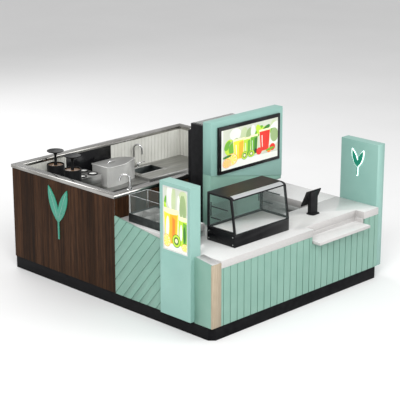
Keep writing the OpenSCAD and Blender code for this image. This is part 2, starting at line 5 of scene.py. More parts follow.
import bmesh
import bpy
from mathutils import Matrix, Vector


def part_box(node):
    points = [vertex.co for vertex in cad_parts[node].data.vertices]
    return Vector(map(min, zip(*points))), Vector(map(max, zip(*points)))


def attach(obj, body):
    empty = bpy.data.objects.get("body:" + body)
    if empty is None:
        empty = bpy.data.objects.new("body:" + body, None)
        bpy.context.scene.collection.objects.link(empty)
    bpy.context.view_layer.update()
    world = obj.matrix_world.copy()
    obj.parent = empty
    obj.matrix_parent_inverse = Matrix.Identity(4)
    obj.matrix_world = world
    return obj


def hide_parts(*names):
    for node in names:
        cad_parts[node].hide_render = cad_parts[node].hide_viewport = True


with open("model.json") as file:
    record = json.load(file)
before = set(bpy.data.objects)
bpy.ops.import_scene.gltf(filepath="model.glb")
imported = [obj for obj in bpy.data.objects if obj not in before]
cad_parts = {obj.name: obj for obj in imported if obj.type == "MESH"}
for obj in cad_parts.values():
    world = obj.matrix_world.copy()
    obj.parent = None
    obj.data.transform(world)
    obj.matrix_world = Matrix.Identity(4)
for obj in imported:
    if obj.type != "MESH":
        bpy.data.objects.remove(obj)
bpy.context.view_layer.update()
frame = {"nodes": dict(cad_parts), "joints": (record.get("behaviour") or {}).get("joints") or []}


# --- Toe kick -----------------------------------------------------------------
# Black laminate boards that run round the foot of every counter and wall. They are
# cut at 45 degrees at the front left corner, and scuffed a little by shoes.
def laminate(name, dark, light, rough, speckle=30.0, metallic=0.0, bump=0.02, coat=0.0,
             stretch=(1.0, 1.0, 1.0), swing=0.1, gleam=0.5):
    """A finish whose tone and gloss wander a little between two colours."""
    material = bpy.data.materials.new(name)
    material.use_nodes = True
    nodes, links = material.node_tree.nodes, material.node_tree.links
    shader = nodes["Principled BSDF"]
    shader.inputs["Metallic"].default_value = metallic
    shader.inputs["Coat Weight"].default_value = coat
    shader.inputs["Specular IOR Level"].default_value = gleam
    shader.inputs["Coat Roughness"].default_value = 0.12
    place = nodes.new("ShaderNodeTexCoord")
    lay = nodes.new("ShaderNodeMapping")
    lay.inputs["Scale"].default_value = stretch
    cloud = nodes.new("ShaderNodeTexNoise")
    cloud.inputs["Scale"].default_value = speckle
    cloud.inputs["Detail"].default_value = 6.0
    tones = nodes.new("ShaderNodeValToRGB")
    tones.color_ramp.elements[0].position = 0.35
    tones.color_ramp.elements[0].color = (*dark, 1.0)
    tones.color_ramp.elements[1].position = 0.65
    tones.color_ramp.elements[1].color = (*light, 1.0)
    gloss = nodes.new("ShaderNodeMapRange")
    gloss.inputs["To Min"].default_value = max(0.02, rough - swing / 2)
    gloss.inputs["To Max"].default_value = rough + swing / 2
    relief = nodes.new("ShaderNodeBump")
    relief.inputs["Strength"].default_value = bump
    relief.inputs["Distance"].default_value = 0.002
    links.new(place.outputs["Object"], lay.inputs["Vector"])
    links.new(lay.outputs["Vector"], cloud.inputs["Vector"])
    links.new(cloud.outputs["Fac"], tones.inputs["Fac"])
    links.new(cloud.outputs["Fac"], gloss.inputs["Value"])
    links.new(cloud.outputs["Fac"], relief.inputs["Height"])
    links.new(tones.outputs["Color"], shader.inputs["Base Color"])
    links.new(gloss.outputs["Result"], shader.inputs["Roughness"])
    links.new(relief.outputs["Normal"], shader.inputs["Normal"])
    return material


def fit_piece(name, shape, material, body="kiosk", edge=0.0, steps=2, stands_for=()):
    """Turns a bmesh into a piece with softened edges that rides on a body."""
    bmesh.ops.recalc_face_normals(shape, faces=shape.faces)
    mesh = bpy.data.meshes.new(name)
    shape.to_mesh(mesh)
    shape.free()
    piece = bpy.data.objects.new(name, mesh)
    bpy.context.scene.collection.objects.link(piece)
    for one in material if isinstance(material, (list, tuple)) else [material]:
        mesh.materials.append(one)
    if edge:
        soften = piece.modifiers.new("edges", "BEVEL")
        soften.width = edge
        soften.segments = steps
        soften.limit_method = "ANGLE"
        soften.angle_limit = math.radians(32)
        soften.harden_normals = True
        bpy.context.view_layer.objects.active = piece
        with bpy.context.temp_override(object=piece, active_object=piece):
            bpy.ops.object.modifier_apply(modifier="edges")
    mesh.shade_smooth()
    mesh.set_sharp_from_angle(angle=math.radians(35))
    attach(piece, body)
    if stands_for:
        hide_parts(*stands_for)
    return piece


def cast_of(node):
    """The CAD node's own form as a clean bmesh, for a piece with softened edges."""
    shape = bmesh.new()
    shape.from_mesh(frame["nodes"][node].data)
    bmesh.ops.remove_doubles(shape, verts=shape.verts, dist=1e-5)
    bmesh.ops.dissolve_limit(shape, angle_limit=math.radians(1.0), verts=shape.verts,
                             edges=shape.edges)
    return shape


kick_black = laminate("kick_laminate", (0.005, 0.005, 0.006), (0.010, 0.010, 0.011), 0.55,
                      speckle=14.0, gleam=0.06)
fit_piece("toe_kick_boards", cast_of("toe_kick"), kick_black, edge=0.002,
          stands_for=["toe_kick"])


# --- Grooved mint facings -------------------------------------------------------
# Painted tongue-and-groove boards on a backing sheet. They stand upright on the front
# counter and run at a slant on the side, under the raked edge of the low counter.
def cut_outline(outline, across, at, keep_above):
    """Cuts a convex outline along a line, and keeps one side of it."""
    side = 1.0 if keep_above else -1.0
    kept = []
    for here, ahead in zip(outline, outline[1:] + outline[:1]):
        a = side * (here.dot(across) - at)
        b = side * (ahead.dot(across) - at)
        if a >= 0:
            kept.append(here)
        if (a > 0 > b) or (a < 0 < b):
            kept.append(here.lerp(ahead, a / (a - b)))
    return kept


def oblong(left, low, right, high):
    """The four corners of a rectangle, in turn."""
    return [Vector(p) for p in ((left, low), (right, low), (right, high), (left, high))]


def add_slab(shape, outline, to_world, near, far):
    """A flat slab with that outline between two depths."""
    front = [shape.verts.new(to_world(p.x, p.y, near)) for p in outline]
    back = [shape.verts.new(to_world(p.x, p.y, far)) for p in outline]
    shape.faces.new(front)
    shape.faces.new(back[::-1])
    for i in range(len(outline)):
        j = (i + 1) % len(outline)
        shape.faces.new((front[i], back[i], back[j], front[j]))


narrowest_board = 0.006


def grooved_facing(name, outlines, slant, pitch, first, groove, deep, thick, to_world,
                   material, stands_for=(), edge=0.0015):
    """Boards laid side by side with a groove between them, on a backing sheet."""
    across = Vector((math.cos(slant), math.sin(slant)))
    boards, backing = bmesh.new(), bmesh.new()
    for outline in outlines:
        reach = [p.dot(across) for p in outline]
        k = math.floor((min(reach) - first) / pitch)
        while first + k * pitch < max(reach):
            low = max(min(reach), first + k * pitch + groove / 2)
            high = min(max(reach), first + (k + 1) * pitch - groove / 2)
            k += 1
            if high - low < narrowest_board:
                continue
            board = cut_outline(outline, across, low, True)
            board = cut_outline(board, across, high, False) if len(board) > 2 else []
            tidy = [p for i, p in enumerate(board) if (p - board[i - 1]).length > 1e-5]
            if len(tidy) > 2:
                add_slab(boards, tidy, to_world, 0.0, deep)
        add_slab(backing, outline, to_world, deep, thick)
    fit_piece(name + "_backing", backing, material)
    return fit_piece(name, boards, material, edge=edge, stands_for=stands_for)


mint = laminate("mint_paint", (0.190, 0.350, 0.285), (0.212, 0.375, 0.308), 0.45, speckle=5.0,
                bump=0.015)
panel_low, panel_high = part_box("front_panel")
shelf_low, shelf_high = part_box("transaction_shelf")
front_boards = [
    oblong(panel_low.x, panel_low.z, shelf_low.x, panel_high.z),
    oblong(shelf_low.x, panel_low.z, shelf_high.x, shelf_low.z),
    oblong(shelf_high.x, panel_low.z, panel_high.x, panel_high.z),
]
board_groove, board_deep, facing_thick = 0.009, 0.008, 0.018
upright_pitch, first_board = 0.1095, panel_low.x + 0.033
grooved_facing("front_boards", front_boards, 0.0, upright_pitch, first_board, board_groove,
               board_deep, facing_thick, lambda u, v, d: (u, panel_low.y + d, v), mint,
               stands_for=["front_panel"])

side_low, side_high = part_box("raked_side_panel")
pillar_low, pillar_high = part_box("lightbox_pillar")
strip_low, strip_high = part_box("corner_strip")
rake = (side_high.z - strip_high.z) / (side_high.y - strip_low.y)


def rake_height(y):
    """The height of the side's raked edge at that depth."""
    return strip_high.z + rake * (y - strip_low.y)


def on_side_face(y, z, deep):
    """A place on the kiosk's left side, that deep under its face."""
    return side_low.x + deep, y, z


end_panel = [Vector(p) for p in [
    (side_low.y, side_low.z), (pillar_low.y, side_low.z),
    (pillar_low.y, rake_height(pillar_low.y)), (side_low.y, rake_height(side_low.y))]]
low_counter_panel = [Vector(p) for p in [
    (pillar_high.y, side_low.z), (side_high.y, side_low.z),
    (side_high.y, side_high.z), (pillar_high.y, rake_height(pillar_high.y))]]
board_slant, slanted_pitch, first_slanted = math.radians(40), 0.105, 0.02
grooved_facing("side_boards", [low_counter_panel], board_slant, slanted_pitch, first_slanted,
               board_groove, board_deep, facing_thick, on_side_face, mint,
               stands_for=["raked_side_panel"])
end_shape = bmesh.new()
add_slab(end_shape, end_panel, on_side_face, 0.0, facing_thick)
fit_piece("end_panel_board", end_shape, mint, edge=0.0015)


# --- Corner strip ----------------------------------------------------------------
# A pale birch laminate strip closes the front left corner, where the upright boards of
# the front meet the slanted boards of the side.
birch = laminate("birch_laminate", (0.36, 0.29, 0.205), (0.44, 0.36, 0.26), 0.48, speckle=9.0,
                 stretch=(9.0, 9.0, 0.7))
fit_piece("birch_strip", cast_of("corner_strip"), birch, edge=0.0015,
          stands_for=["corner_strip"])


# --- White counter tops -------------------------------------------------------------
# Thick solid-surface tops, polished, with small rounded edges: the long front top with
# its notch, the lower shelf in the notch, the return and the raised low counter. Their
# upright faces take a greyer copy of the white as painted shade, and a folded steel
# capping closes the front corner.
white_stone = laminate("white_solid_surface", (0.66, 0.66, 0.65), (0.71, 0.71, 0.70), 0.22,
                       speckle=60.0, bump=0.004, coat=0.25, swing=0.05)
# A greyer copy of the white solid surface: painted shade for the tops' upright faces.
stone_sides_painted_shade = laminate("solid_surface_painted_shade", (0.50, 0.485, 0.475), (0.54, 0.525, 0.515), 0.34,
                      speckle=60.0, bump=0.004, swing=0.05)
capping_steel = laminate("capping_steel", (0.60, 0.60, 0.60), (0.78, 0.78, 0.78), 0.30,
                         metallic=0.4, speckle=1.2, stretch=(1.0, 6.0, 1.0), bump=0.01)
for top in ["counter_top", "transaction_shelf", "return_top", "low_counter_top"]:
    slab = cast_of(top)
    slab.normal_update()
    # Flat faces take the white, and upright faces take the greyer copy that paints their shade.
    for face in slab.faces:
        face.material_index = 0 if abs(face.normal.z) > 0.5 else 1
    fit_piece(top + "_slab", slab, [white_stone, stone_sides_painted_shade], edge=0.004, steps=3,
              stands_for=[top])
fit_piece("corner_capping_sheet", cast_of("corner_capping"), capping_steel,
          edge=0.002, stands_for=["corner_capping"])


# --- Cabinets under the counters ------------------------------------------------------
# Grey laminate boards carry the tops on the staff side. Doors and a row of drawers are laid
# on them with a narrow gap all round, and each has a short steel pull.
def round_bar(shape, points, radius, sides=12):
    """A round bar through those points, with closed ends."""
    angles = [math.tau * k / sides for k in range(sides)]
    rings = []
    for i, point in enumerate(points):
        ahead = Vector(points[min(i + 1, len(points) - 1)]) - Vector(points[max(i - 1, 0)])
        turn = ahead.to_track_quat("Z", "Y")
        rings.append([
            shape.verts.new(Vector(point) + turn @ Vector(
                (radius * math.cos(angle), radius * math.sin(angle), 0)))
            for angle in angles])
    for low, high in zip(rings, rings[1:]):
        for k in range(sides):
            shape.faces.new((low[k], low[k - 1], high[k - 1], high[k]))
    shape.faces.new(rings[0])
    shape.faces.new(rings[-1][::-1])


front_gap, front_thick = 0.002, 0.006
pull_drop, pull_reach, pull_radius = 0.045, 0.024, 0.005


def cabinet_fronts(name, corner, along, outward, columns, rows, base, upper):
    """Fronts in columns and rows on a cabinet face, each with a pull."""
    corner, along, outward = Vector(corner), Vector(along), Vector(outward)
    unit, reach = along.normalized(), along.length / columns

    def on_cabinet(run, level, deep):
        return corner + unit * run + outward * deep + Vector((0, 0, level))

    fronts, pulls = bmesh.new(), bmesh.new()
    heights = [base + (upper - base) * r for r in rows]
    half_pull = min(0.09, reach * 0.3)
    for k in range(columns):
        left, right = k * reach + front_gap, (k + 1) * reach - front_gap
        middle = (left + right) / 2
        for low, high in zip(heights, heights[1:]):
            add_slab(fronts, oblong(left, low + front_gap, right, high - front_gap), on_cabinet,
                     0.0, front_thick)
            grip = [(-half_pull, front_thick), (-half_pull, pull_reach),
                    (half_pull, pull_reach), (half_pull, front_thick)]
            round_bar(pulls, [on_cabinet(middle + run, high - pull_drop, deep)
                              for run, deep in grip], pull_radius)
    fit_piece(name, fronts, grey_laminate, edge=0.001)
    fit_piece(name + "_pulls", pulls, steel)


grey_laminate = laminate("grey_laminate", (0.36, 0.37, 0.36), (0.42, 0.43, 0.42), 0.45,
                         speckle=20.0)
steel = laminate("brushed_steel", (0.34, 0.34, 0.33), (0.48, 0.48, 0.46), 0.34, metallic=1.0,
                 speckle=3.0, stretch=(1.0, 14.0, 40.0), bump=0.03, swing=0.12)
for boards in ["counter_backs", "return_cabinet"]:
    fit_piece(boards + "_boards", cast_of(boards), grey_laminate, edge=0.001,
              stands_for=[boards])
return_low, return_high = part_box("return_cabinet")
counter_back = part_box("counter_top")[1].y
low_counter_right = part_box("low_counter_top")[1].x
door_row, drawer_rows = [0.0, 1.0], [0.0, 0.72, 0.86, 1.0]
aisle_foot, aisle_head, pocket_foot = 0.15, 0.805, 0.12
cabinet_fronts("return_drawers", (return_low.x, return_high.y - 0.02, 0),
               (0, return_low.y + 0.72 - return_high.y, 0), (-1, 0, 0), 2, drawer_rows,
               aisle_foot, aisle_head)
cabinet_fronts("front_counter_doors", (return_low.x - 0.03, return_low.y + 0.627, 0),
               (-0.52, 0, 0), (0, 1, 0), 1, door_row, aisle_foot, aisle_head)
cabinet_fronts("pocket_doors", (low_counter_right + 0.03, counter_back, 0), (0.56, 0, 0),
               (0, 1, 0), 2, door_row, pocket_foot, 0.80)
cabinet_fronts("low_counter_doors", (low_counter_right, counter_back + 0.03, 0), (0, 0.46, 0),
               (1, 0, 0), 2, door_row, pocket_foot, 0.93)


# --- Wing wall ---------------------------------------------------------------------------
# A tall painted board box on the right-hand end, with a lit sign: a white acrylic plate
# cut as two leaves, and a green face a little smaller laid on it.
def lit_acrylic(name, tone, strength):
    """Acrylic that glows evenly, with a faint cloud in its tone."""
    material = laminate(name, tuple(0.9 * c for c in tone), tone, 0.25, speckle=8.0, bump=0.0)
    shader = material.node_tree.nodes["Principled BSDF"]
    shader.inputs["Emission Color"].default_value = (*tone, 1.0)
    shader.inputs["Emission Strength"].default_value = strength
    return material


# A lighter copy of the mint paint, which is painted light: it brightens the wing, pillar and menu
# boxes, and the walnut sign's ribs are in it too.
mint_painted_light = laminate("mint_paint_painted_light", (0.245, 0.440, 0.390), (0.268, 0.468, 0.415), 0.40,
                       speckle=3.0, bump=0.01)
glow_white = lit_acrylic("lit_white_acrylic", (0.85, 1.0, 0.95), 2.2)
leaf_green = laminate("leaf_green_acrylic", (0.020, 0.260, 0.170), (0.035, 0.330, 0.220), 0.28,
                      speckle=4.0, coat=0.3)
# The box is in the lighter copy of the mint: painted light from the lit sign.
fit_piece("wing_wall_box", cast_of("wing_wall"), mint_painted_light, edge=0.004,
          stands_for=["wing_wall"])
fit_piece("wing_sign_light", cast_of("wing_emblem"), glow_white,
          stands_for=["wing_emblem"])
sign_low, sign_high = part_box("wing_emblem")
wing_face = cast_of("wing_emblem")
middle = (sign_low + sign_high) / 2
face_width_share, face_height_share = 0.93, 0.94
face_proud, face_sunk = 0.002, 0.001
for vert in wing_face.verts:
    vert.co.y = middle.y + (vert.co.y - middle.y) * face_width_share
    vert.co.z = middle.z + (vert.co.z - middle.z) * face_height_share
    vert.co.x = sign_low.x - (face_proud if vert.co.x < middle.x else -face_sunk)
fit_piece("wing_sign_face", wing_face, leaf_green)


# --- Lightbox pillar ----------------------------------------------------------------------
# A painted board box that stands half outside the side face. Its poster is a backlit print
# in a shallow recess, held by a slim white snap frame; the print shows two generic juices.
def oval(u, v, wide, high, sides=28, start=0.0, end=math.tau):
    """An oval, or the part of one between two angles."""
    turns = [start + (end - start) * k / sides for k in range(sides)]
    return [(u + wide * math.cos(t), v + high * math.sin(t)) for t in turns]


def tumbler(u, v, wide, high):
    """A glass that widens towards its rim."""
    return [(u - wide * 0.38, v), (u + wide * 0.38, v), (u + wide * 0.5, v + high),
            (u - wide * 0.5, v + high)]


def leaf(u, v, length, lean):
    """A pointed leaf that leans by an angle."""
    points = []
    for k in range(16):
        t = math.tau * k / 16
        a, b = length * (0.5 - 0.5 * math.cos(t)), length * 0.2 * math.sin(t)
        points.append((u + a * math.cos(lean) - b * math.sin(lean),
                       v + a * math.sin(lean) + b * math.cos(lean)))
    return points


prints = {}


def print_ink(tone):
    """One lit printing colour, made once for each tone."""
    if tone not in prints:
        prints[tone] = lit_acrylic("print_ink_%02d" % len(prints), tone, 0.35)
    return prints[tone]


ink_step = 0.00004


def lit_picture(name, corner, across, up, outward, wide, high, drawing, stands_for=()):
    """A print built from flat shapes, each a hair above the one before."""
    corner, across, up, outward = Vector(corner), Vector(across), Vector(up), Vector(outward)
    sheet = bmesh.new()
    inks = []
    for layer, (tone, outline) in enumerate(drawing):
        if tone not in inks:
            inks.append(tone)
        if min(min(p) for p in outline) < 0 or max(max(p) for p in outline) > 1:
            outline = [Vector(p) for p in outline]
            for edge in (Vector((1, 0)), Vector((0, 1))):
                outline = cut_outline(cut_outline(outline, edge, 0, True), edge, 1, False)
        proud = outward * (ink_step * (layer + 1))
        points = [corner + across * wide * u + up * high * v + proud for u, v in outline]
        face = sheet.faces.new([sheet.verts.new(p) for p in points])
        face.material_index = inks.index(tone)
    mesh = bpy.data.meshes.new(name)
    sheet.to_mesh(mesh)
    sheet.free()
    for tone in inks:
        mesh.materials.append(print_ink(tone))
    picture = bpy.data.objects.new(name, mesh)
    bpy.context.scene.collection.objects.link(picture)
    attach(picture, "kiosk")
    if stands_for:
        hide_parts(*stands_for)


paper, mist = (0.66, 0.69, 0.62), (0.44, 0.52, 0.30)
yellow, amber, orange = (0.95, 0.62, 0.03), (0.90, 0.38, 0.01), (0.88, 0.20, 0.01)
lime, green, forest = (0.42, 0.62, 0.03), (0.12, 0.36, 0.02), (0.03, 0.16, 0.015)
red, cream, dark_seed = (0.62, 0.02, 0.01), (0.78, 0.74, 0.44), (0.02, 0.02, 0.01)
haze, sage = (0.50, 0.53, 0.44), (0.26, 0.36, 0.16)


def citrus(u, v, wide, high, rind, flesh):
    """A cut fruit: rind, pith, flesh and the walls between its segments."""
    parts = [(rind, oval(u, v, wide, high)), (cream, oval(u, v, wide * 0.88, high * 0.88))]
    for k in range(8):
        start = math.tau * k / 8 + 0.10
        wedge = [(u, v)] + oval(u, v, wide * 0.78, high * 0.78, 6, start, start + 0.62)
        parts.append((flesh, wedge))
    return parts


def kiwi(u, v, wide, high):
    """A cut kiwi fruit with a pale heart and a ring of seeds."""
    parts = [(forest, oval(u, v, wide, high)), (lime, oval(u, v, wide * 0.9, high * 0.9)),
             (forest, oval(u, v, wide * 0.58, high * 0.58)),
             (cream, oval(u, v, wide * 0.34, high * 0.34))]
    for k in range(10):
        t = math.tau * k / 10
        parts.append((dark_seed, oval(u + wide * 0.5 * math.cos(t), v + high * 0.5 * math.sin(t),
                                      wide * 0.06, high * 0.06, 8)))
    return parts


poster_drawing = [
    (haze, oblong(0, 0, 1, 1)), (paper, oval(0.30, 0.86, 0.16, 0.20)),
    (mist, oval(0.80, 0.78, 0.22, 0.20)), (paper, oval(0.62, 0.66, 0.07, 0.24)),
    (mist, leaf(0.40, 0.58, 0.44, 1.5)), (sage, leaf(0.70, 0.56, 0.36, 1.4)),
    (sage, leaf(0.86, 0.52, 0.40, 1.7)), (green, leaf(0.04, 0.66, 0.20, 1.2)),
    (lime, leaf(0.16, 0.58, 0.20, 2.2)), (forest, leaf(0.22, 0.60, 0.12, 0.4)),
    (paper, [(0, 0), (1, 0), (1, 0.10), (0, 0.12)]),
    (cream, tumbler(0.32, 0.11, 0.62, 0.55)), (yellow, tumbler(0.32, 0.12, 0.58, 0.48)),
    (amber, [(0.25, 0.12), (0.52, 0.12), (0.57, 0.58), (0.27, 0.57)]),
    (orange, [(0.36, 0.13), (0.46, 0.13), (0.48, 0.50), (0.37, 0.54)]),
    (cream, oval(0.32, 0.60, 0.28, 0.025)), (paper, leaf(0.16, 0.20, 0.34, 1.5)),
    (cream, tumbler(0.80, 0.11, 0.40, 0.47)), (lime, tumbler(0.80, 0.12, 0.37, 0.41)),
    (green, [(0.80, 0.13), (0.93, 0.13), (0.96, 0.48), (0.80, 0.50)]),
    (forest, leaf(0.86, 0.18, 0.26, 1.6)), (cream, oval(0.80, 0.53, 0.18, 0.02)),
    (paper, leaf(0.72, 0.20, 0.26, 1.55)),
]
poster_drawing += citrus(0.14, 0.15, 0.16, 0.10, amber, yellow)
poster_drawing += citrus(0.88, 0.11, 0.14, 0.06, amber, yellow) + kiwi(0.53, 0.18, 0.17, 0.105)
# The box is in the lighter copy of the mint, as painted light.
fit_piece("pillar_box", cast_of("lightbox_pillar"), mint_painted_light, edge=0.003,
          stands_for=["lightbox_pillar"])
poster_low, poster_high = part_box("lightbox_poster")
lit_picture("pillar_poster", (poster_low.x + 0.002, poster_high.y, poster_low.z), (0, -1, 0),
            (0, 0, 1), (-1, 0, 0), poster_high.y - poster_low.y, poster_high.z - poster_low.z,
            poster_drawing, stands_for=["lightbox_poster"])
frame_bar = 0.012
inner_foot, inner_head = poster_low.z + frame_bar, poster_high.z - frame_bar
snap_frame = bmesh.new()
for v0, v1, u0, u1 in [
    (poster_low.z, inner_foot, poster_low.y, poster_high.y),
    (inner_head, poster_high.z, poster_low.y, poster_high.y),
    (inner_foot, inner_head, poster_low.y, poster_low.y + frame_bar),
    (inner_foot, inner_head, poster_high.y - frame_bar, poster_high.y),
]:
    add_slab(snap_frame, oblong(u0, v0, u1, v1), lambda u, v, d: (poster_low.x - d, u, v),
             -0.002, 0.006)
fit_piece("poster_snap_frame", snap_frame, white_stone, edge=0.001)
joint_bead = bmesh.new()
bead_x, bead_z = pillar_low.x + 0.0014, pillar_low.z + 0.735
round_bar(joint_bead, [(bead_x, pillar_low.y + 0.004, bead_z),
                       (bead_x, pillar_high.y - 0.004, bead_z)], 0.0022)
fit_piece("pillar_joint_bead", joint_bead, mint)


# --- Walnut walls ------------------------------------------------------------------------
# Tall walls faced outside with upright walnut-veneer boards in three tones, and inside with
# plain grey sheets. The boards are glued side by side with a hairline joint.
def walnut_veneer(name, dark, light, seed):
    """Straight grain with darker streaks that run up the board."""
    material = laminate(name, dark, light, 0.52, speckle=2.2, stretch=(16.0, 16.0, 0.55),
                        bump=0.06, swing=0.14, gleam=0.10)
    nodes, links = material.node_tree.nodes, material.node_tree.links
    fine = nodes.new("ShaderNodeTexNoise")
    fine.noise_dimensions = "4D"
    fine.inputs["W"].default_value = seed
    fine.inputs["Scale"].default_value = 11.0
    fine.inputs["Detail"].default_value = 8.0
    fine.inputs["Distortion"].default_value = 0.6
    streak = nodes.new("ShaderNodeMix")
    streak.data_type = "RGBA"
    streak.blend_type = "MULTIPLY"
    streak.inputs["Factor"].default_value = 0.75
    shades = nodes.new("ShaderNodeValToRGB")
    shades.color_ramp.elements[0].position = 0.38
    shades.color_ramp.elements[0].color = (0.34, 0.30, 0.28, 1.0)
    shades.color_ramp.elements[1].position = 0.62
    shades.color_ramp.elements[1].color = (1.0, 1.0, 1.0, 1.0)
    lay = next(n for n in nodes if n.type == "MAPPING")
    tones = next(n for n in nodes if n.type == "VALTORGB" and n != shades)
    links.new(lay.outputs["Vector"], fine.inputs["Vector"])
    links.new(fine.outputs["Fac"], shades.inputs["Fac"])
    links.new(tones.outputs["Color"], streak.inputs["A"])
    links.new(shades.outputs["Color"], streak.inputs["B"])
    links.new(streak.outputs["Result"], nodes["Principled BSDF"].inputs["Base Color"])
    return material


veneers = [
    walnut_veneer("walnut_dark", (0.016, 0.0065, 0.0025), (0.042, 0.018, 0.007), 1.0),
    walnut_veneer("walnut_mid", (0.026, 0.011, 0.0045), (0.064, 0.028, 0.012), 2.0),
    walnut_veneer("walnut_light", (0.036, 0.016, 0.007), (0.086, 0.039, 0.018), 3.0),
]
cut_widths = random.Random(7)
veneer_board, hairline, slimmest_board = 0.006, 0.0006, 0.08


def laid_level(x, y, z):
    """A place for slabs that are drawn in plan and grow upwards."""
    return x, y, z


def veneered_wall(node, outside):
    """A wall core in grey sheet with walnut ends, and walnut boards on its outer face."""
    low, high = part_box(node)
    axis = 0 if outside.x else 1
    run = 1 - axis
    core = bmesh.new()
    core_low, core_high = low.copy(), high.copy()
    face = high[axis] if outside[axis] > 0 else low[axis]
    if outside[axis] > 0:
        core_high[axis] -= veneer_board
    else:
        core_low[axis] += veneer_board
    add_slab(core, oblong(core_low.x, core_low.y, core_high.x, core_high.y), laid_level,
             core_low.z, core_high.z)
    core.normal_update()
    for side in core.faces:
        side.material_index = 1 if abs(side.normal[run]) > 0.5 else 0
    fit_piece(node + "_core", core, [grey_laminate, veneers[1]],
              stands_for=[node])
    boards = bmesh.new()
    here = low[run]
    tone = 0

    def on_face(u, v, d):
        point = [0.0, 0.0, v]
        point[run] = u
        point[axis] = face - outside[axis] * d
        return point

    while here < high[run] - 1e-4:
        ahead = min(high[run], here + cut_widths.uniform(0.12, 0.26))
        if high[run] - ahead < slimmest_board:
            ahead = high[run]
        count = len(boards.faces)
        add_slab(boards, oblong(here + hairline, low.z, ahead - hairline, high.z), on_face,
                 0.0, veneer_board)
        boards.faces.ensure_lookup_table()
        tone = (tone + cut_widths.choice([1, 2])) % 3
        for k in range(count, len(boards.faces)):
            boards.faces[k].material_index = tone
        here = ahead
    fit_piece(node + "_boards", boards, veneers, edge=0.0008, steps=1)


veneered_wall("walnut_left_wall", Vector((-1, 0, 0)))
veneered_wall("walnut_front_wall", Vector((0, -1, 0)))
veneered_wall("back_wall", Vector((0, 1, 0)))
veneered_wall("right_back_wall", Vector((1, 0, 0)))


# --- Walnut sign ---------------------------------------------------------------------------
# A generic two-leaf sign cut from green acrylic and pinned to the walnut face, with a
# paler rib down each leaf.
fit_piece("walnut_sign", cast_of("walnut_emblem"), leaf_green, edge=0.0012,
          stands_for=["walnut_emblem"])
sign_low, sign_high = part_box("walnut_emblem")
tall, across = sign_high.z - sign_low.z, (sign_low.y + sign_high.y) / 2
leaf_root = sign_low.z + 0.43 * tall
ribs = bmesh.new()
for side in (-1, 1):
    round_bar(ribs, [(sign_low.x, across + side * 0.025 * tall, leaf_root),
                     (sign_low.x, across + side * 0.13 * tall, leaf_root + 0.26 * tall),
                     (sign_low.x, across + side * 0.235 * tall, leaf_root + 0.50 * tall)],
              0.0025, 8)
fit_piece("walnut_sign_ribs", ribs, mint_painted_light)


# --- Wall cap --------------------------------------------------------------------------------
# Folded stainless sheet laid over the tops of all four walls. It is brushed along its
# length and stands a little proud of the walnut.
cap_steel = laminate("cap_steel", (0.30, 0.29, 0.27), (0.52, 0.51, 0.49), 0.20, metallic=1.0,
                     speckle=1.6, stretch=(1.5, 1.5, 12.0), bump=0.01, swing=0.14)
fit_piece("wall_cap_sheet", cast_of("wall_cap"), cap_steel, edge=0.003,
          stands_for=["wall_cap"])


# --- Wall linings --------------------------------------------------------------------------
# Off-white beaded boards line the back and the right wall above the worktop, and a gloss
# black splash panel stands behind the machines.
lining_white = laminate("lining_paint", (0.58, 0.58, 0.53), (0.65, 0.65, 0.60), 0.45,
                        speckle=4.0)
bead_low, bead_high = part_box("beadboard_lining")
splash_low, splash_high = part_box("black_lining")
right_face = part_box("right_back_wall")[0]
sink_low, sink_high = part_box("sink_top")
prep_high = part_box("prep_top")[1]
lining_deep = splash_high.y - splash_low.y
bead_pitch, bead_groove, bead_deep, bead_edge = 0.06, 0.005, 0.005, 0.0018
grooved_facing("back_beadboard", [
    oblong(splash_high.x, sink_high.z, right_face.x, bead_high.z),
    oblong(bead_low.x, prep_high.z, splash_low.x, bead_high.z)],
    0.0, bead_pitch, splash_high.x, bead_groove, bead_deep, lining_deep,
    lambda u, v, d: (u, splash_low.y + d, v), lining_white,
    stands_for=["beadboard_lining"], edge=bead_edge)
grooved_facing("right_beadboard", [
    oblong(right_face.y, 0.0, sink_low.y, bead_high.z),
    oblong(sink_low.y, sink_high.z, splash_low.y, bead_high.z)],
    0.0, bead_pitch, splash_low.y, bead_groove, bead_deep, lining_deep,
    lambda u, v, d: (right_face.x - lining_deep + d, u, v), lining_white,
    edge=bead_edge)
gloss_black = laminate("gloss_black", (0.006, 0.006, 0.007), (0.010, 0.010, 0.011), 0.18,
                       speckle=6.0, gleam=0.14)
fit_piece("splash_panel", cast_of("black_lining"), gloss_black, edge=0.001,
          stands_for=["black_lining"])


# --- Worktops, sink and taps --------------------------------------------------------------
# Brushed steel tops with a folded front edge. The sink bowl is pressed steel with a round
# waste and a raised rim, coloured near black as painted shade; both taps are chromed
# goosenecks, and one has a lever.
for top in ["prep_top", "sink_top"]:
    fit_piece(top + "_sheet", cast_of(top), steel, edge=0.004, stands_for=[top])
# Steel darkened to near black: painted shade in the sink bowl and the topping trough.
steel_in_painted_shade = laminate("shaded_steel", (0.034, 0.040, 0.039), (0.062, 0.070, 0.068), 0.40,
                      metallic=0.9, speckle=12.0, bump=0.03)
bowl_low, bowl_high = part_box("sink_bowl")
fit_piece("sink_bowl_pressing", cast_of("sink_bowl"), steel_in_painted_shade, edge=0.002,
          stands_for=["sink_bowl"])
rim = bmesh.new()
for grow, size in [(0.008, 0.004), (0.045, 0.003)]:
    ring = oblong(bowl_low.x - grow, bowl_low.y - grow, bowl_high.x + grow,
                  min(bowl_high.y + grow, splash_low.y - 0.07))
    for a, b in zip(ring, ring[1:] + ring[:1]):
        round_bar(rim, [(a[0], a[1], sink_high.z), (b[0], b[1], sink_high.z)], size, 8)
fit_piece("sink_rim_beads", rim, steel)


